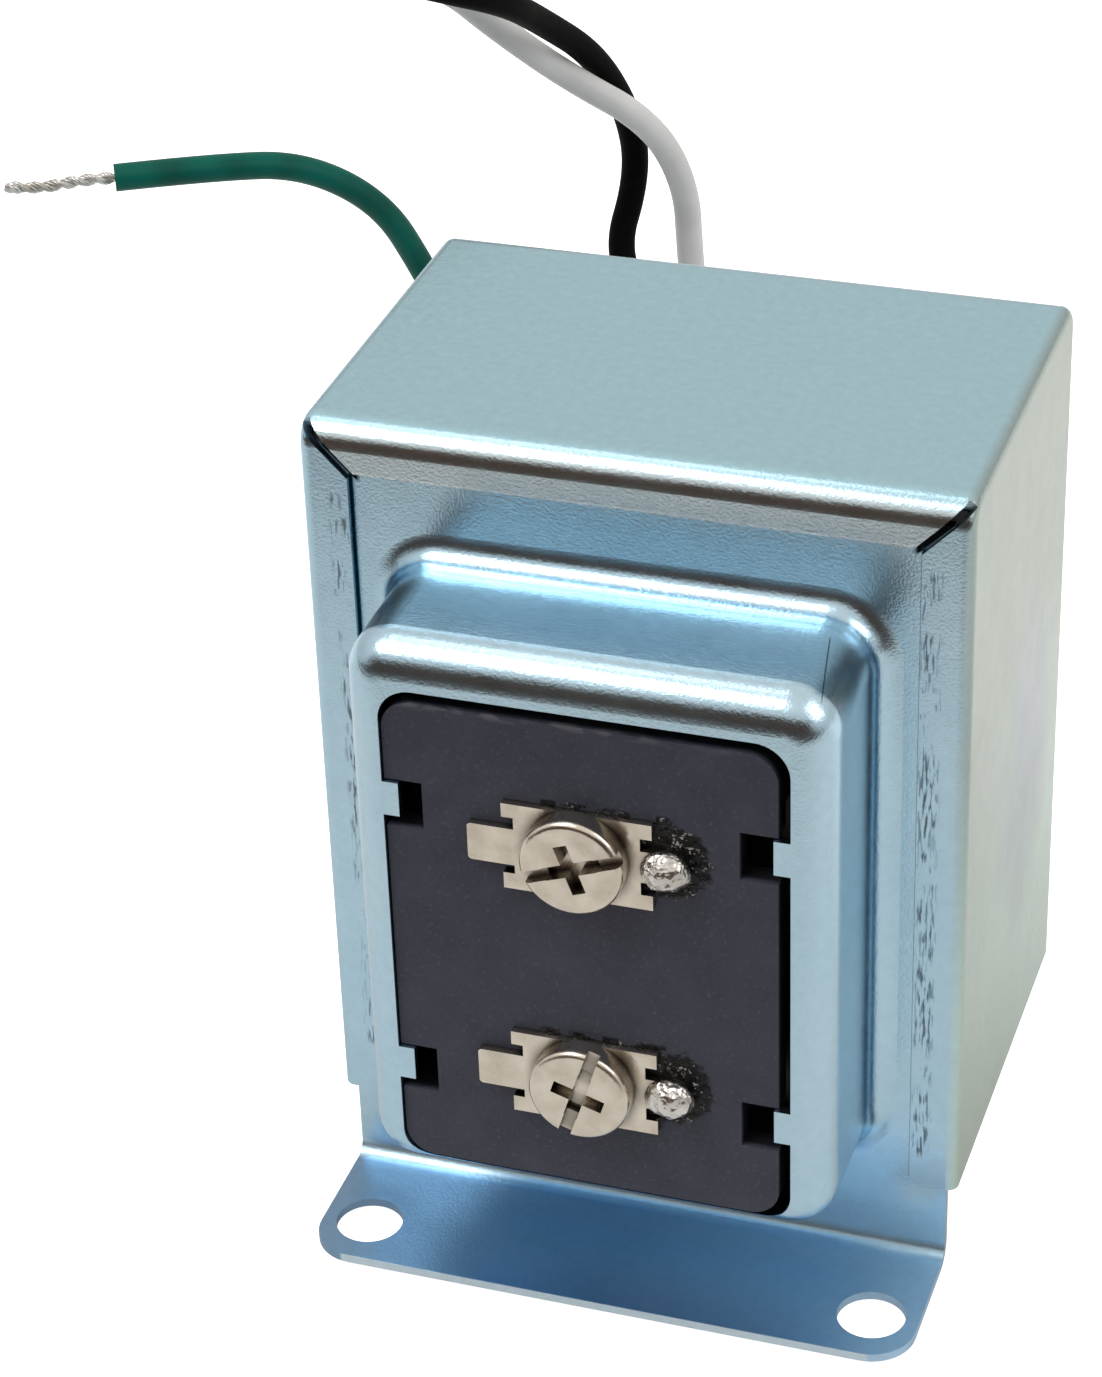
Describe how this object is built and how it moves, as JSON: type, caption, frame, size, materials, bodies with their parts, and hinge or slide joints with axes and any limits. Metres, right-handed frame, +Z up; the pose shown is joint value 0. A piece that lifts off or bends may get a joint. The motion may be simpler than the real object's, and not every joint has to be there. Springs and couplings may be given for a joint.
{
  "type": "doorbell transformer",
  "caption": "Foot-mounted bell transformer: laminated core in a folded zinc-plated steel case, screw terminals on a dark board at the front, insulated leads from a hub behind",
  "frame": {"origin": "Midway between the two foot holes, on the underside of the foot", "axes": "+Z up, square to the foot and out of its holes' top; +Y from the terminals to the back; +X to the right seen from the terminals"},
  "size_m": [0.1263, 0.1117, 0.0974],
  "materials": {
    "zinc_sheet": "bright zinc plate with a pale blue passivate, light scuffs on the bends",
    "core_steel": "stacked silicon-steel laminations, varnished, dark grey edges",
    "bobbin_nylon": "natural glass-filled nylon",
    "magnet_wire": "enamelled copper wire, layer wound",
    "coil_tape": "yellow polyester tape",
    "cutoff_body": "thermal cut-off in an insulating wrap",
    "board": "dark grey moulded phenolic, matte, slightly mottled",
    "nickel": "nickel plate, worn and slightly yellowed",
    "solder": "dull tin-lead solder with dark flux round it",
    "hub_steel": "zinc-plated steel, turned",
    "bush_plastic": "black nylon bush",
    "black_insulation": "black PVC lead insulation, soft sheen",
    "white_insulation": "off-white PVC lead insulation, soft sheen",
    "green_insulation": "dark green PVC lead insulation, soft sheen",
    "tinned_strand": "bare tinned copper strands, twisted",
    "sleeve_plastic": "crimped splice under an insulating sleeve"
  },
  "bodies": {
    "root": {"shroud": "zinc_sheet", "front_cover": "zinc_sheet", "back_cover": "zinc_sheet", "e_lamination_stack": "core_steel", "i_lamination_stack": "core_steel", "bobbin": "bobbin_nylon", "primary_winding": "magnet_wire", "secondary_winding": "magnet_wire", "primary_tape": "coil_tape", "secondary_tape": "coil_tape", "thermal_cutoff": "cutoff_body", "terminal_board": "board", "upper_terminal": "nickel", "upper_terminal_screw": "nickel", "upper_solder_joint": "solder", "lower_terminal": "nickel", "lower_terminal_screw": "nickel", "lower_solder_joint": "solder", "upper_secondary_lead": "magnet_wire", "lower_secondary_lead": "magnet_wire", "black_inner_lead": "black_insulation", "white_inner_lead": "white_insulation", "green_inner_lead": "green_insulation", "hub": "hub_steel", "locknut": "hub_steel", "lead_bushing": "bush_plastic", "rear_screws": "hub_steel", "splice_sleeves": "sleeve_plastic", "ground_ring": "tinned_strand", "ground_rivet": "hub_steel", "black_lead": "black_insulation", "black_lead_tip": "tinned_strand", "white_lead": "white_insulation", "white_lead_tip": "tinned_strand", "green_lead": "green_insulation", "green_lead_tip": "tinned_strand"}
  },
  "joints": []
}
